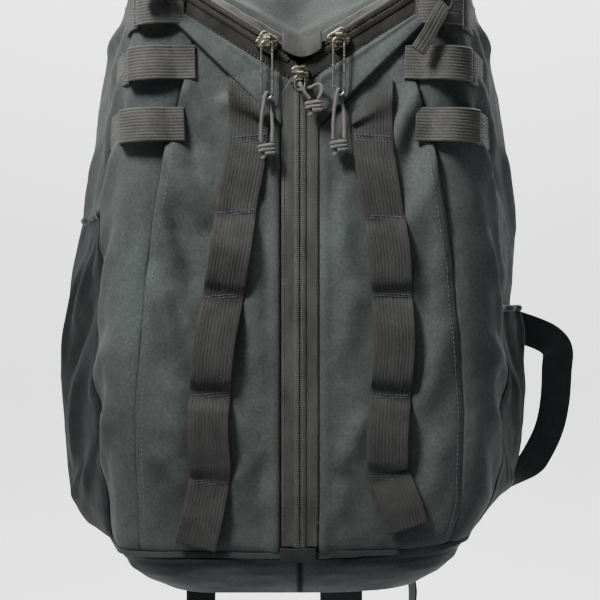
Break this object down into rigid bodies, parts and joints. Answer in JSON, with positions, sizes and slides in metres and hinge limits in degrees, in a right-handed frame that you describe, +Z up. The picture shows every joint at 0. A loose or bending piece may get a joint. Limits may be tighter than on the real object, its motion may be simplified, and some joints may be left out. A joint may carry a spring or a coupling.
{
  "type": "ski backpack",
  "caption": "Soft ski backpack with a Y-shaped three-way zip front, daisy-chain webbing, side loops, stretch side pockets, padded straps and a haul loop.",
  "frame": {"origin": "underside of the haul loop at its highest point, where a hook carries the pack", "axes": "+Z up, -Y out of the zipped front, +Y towards the wearer, +X to the right seen from the front"},
  "size_m": [0.4311, 0.3023, 0.658],
  "materials": {
    "pack_fabric": "matt coated laminate",
    "zip_tape": "rubberised, semi-matt",
    "webbing": "ribbed nylon",
    "black_webbing": "flat nylon",
    "stitching": "bonded thread",
    "slider_metal": "dark bronze",
    "pull_wire": "bright wire",
    "cord": "woven cord",
    "buckle": "moulded acetal",
    "foam": "spacer mesh over foam",
    "frame_plastic": "polyethylene sheet",
    "stay_metal": "mill finish"
  },
  "bodies": {
    "pack": {"back_pad": "foam", "back_panel": "pack_fabric", "bartacks": "stitching", "base_panel": "pack_fabric", "centre_stringer_left": "zip_tape", "centre_stringer_right": "zip_tape", "cord_toggle": "buckle", "crown_rear_strip": "pack_fabric", "daisy_webbing_left": "webbing", "daisy_webbing_right": "webbing", "diagonal_stringer_left": "zip_tape", "diagonal_stringer_right": "zip_tape", "frame_sheet": "frame_plastic", "frame_stays": "stay_metal", "front_panel_left": "pack_fabric", "front_panel_right": "pack_fabric", "haul_loop": "black_webbing", "hem_binding": "zip_tape", "ladder_locks": "buckle", "load_lifters": "black_webbing", "lower_webbing_left": "black_webbing", "lower_webbing_right": "black_webbing", "shoulder_strap_left": "foam", "shoulder_strap_right": "foam", "side_loops_left": "webbing", "side_loops_right": "webbing", "side_panel_left": "pack_fabric", "side_panel_right": "pack_fabric", "side_pocket_left": "pack_fabric", "side_pocket_right": "pack_fabric", "sternum_buckle_female": "buckle", "sternum_webbing_right": "black_webbing", "tether_strap": "webbing", "yoke_left": "pack_fabric", "yoke_right": "pack_fabric", "zip_end_tab": "zip_tape"},
    "lid": {"lid_panel": "pack_fabric", "nose_band": "zip_tape", "lid_stringer_left": "zip_tape", "lid_stringer_right": "zip_tape"},
    "centre_slider": {"zip_slider_centre": "slider_metal"},
    "left_slider": {"zip_slider_left": "slider_metal"},
    "right_slider": {"zip_slider_right": "slider_metal"},
    "centre_pull": {"pull_wire_centre": "pull_wire", "pull_cord_centre": "cord", "pull_knot_centre": "cord"},
    "left_pull": {"pull_wire_left": "pull_wire", "pull_cord_left": "cord", "pull_knot_left": "cord"},
    "right_pull": {"pull_wire_right": "pull_wire", "pull_cord_right": "cord", "pull_knot_right": "cord"},
    "sternum_male_half": {"sternum_buckle_male": "buckle", "sternum_webbing_left": "black_webbing"},
    "hip_belt_left": {"hip_webbing_left": "black_webbing", "hip_buckle_male": "buckle"},
    "hip_belt_right": {"hip_webbing_right": "black_webbing", "hip_buckle_female": "buckle", "hip_tail": "black_webbing"}
  },
  "joints": [
    {"name": "lid_hinge", "type": "hinge", "parent": "pack", "child": "lid", "pos_m": [0, -0.018, -0.032], "axis": [-1, 0, 0], "range_deg": [0, 75]},
    {"name": "centre_zip_slide", "type": "slide", "parent": "pack", "child": "centre_slider", "axis": [0, 0, -1], "range_m": [0, 0.325]},
    {"name": "left_zip_slide", "type": "slide", "parent": "lid", "child": "left_slider", "axis": [-0.8499, 0, 0.5269], "range_m": [0, 0.046]},
    {"name": "right_zip_slide", "type": "slide", "parent": "lid", "child": "right_slider", "axis": [0.8499, 0, 0.5269], "range_m": [0, 0.046]},
    {"name": "centre_pull_swing", "type": "hinge", "parent": "centre_slider", "child": "centre_pull", "pos_m": [0, -0.2094, -0.148], "axis": [-1, 0, 0], "range_deg": [0, 150]},
    {"name": "left_pull_swing", "type": "hinge", "parent": "left_slider", "child": "left_pull", "pos_m": [-0.024, -0.2094, -0.12312], "axis": [-1, 0, 0], "range_deg": [0, 150]},
    {"name": "right_pull_swing", "type": "hinge", "parent": "right_slider", "child": "right_pull", "pos_m": [0.028, -0.2094, -0.12064], "axis": [-1, 0, 0], "range_deg": [0, 150]},
    {"name": "sternum_release", "type": "slide", "parent": "pack", "child": "sternum_male_half", "axis": [-1, 0, 0], "range_m": [0, 0.026]},
    {"name": "hip_left_swing", "type": "hinge", "parent": "pack", "child": "hip_belt_left", "pos_m": [-0.0845, 0.0152, -0.494], "axis": [1, 0, 0], "range_deg": [0, 70]},
    {"name": "hip_right_swing", "type": "hinge", "parent": "pack", "child": "hip_belt_right", "pos_m": [0.035, 0.0152, -0.494], "axis": [1, 0, 0], "range_deg": [0, 70]}
  ]
}
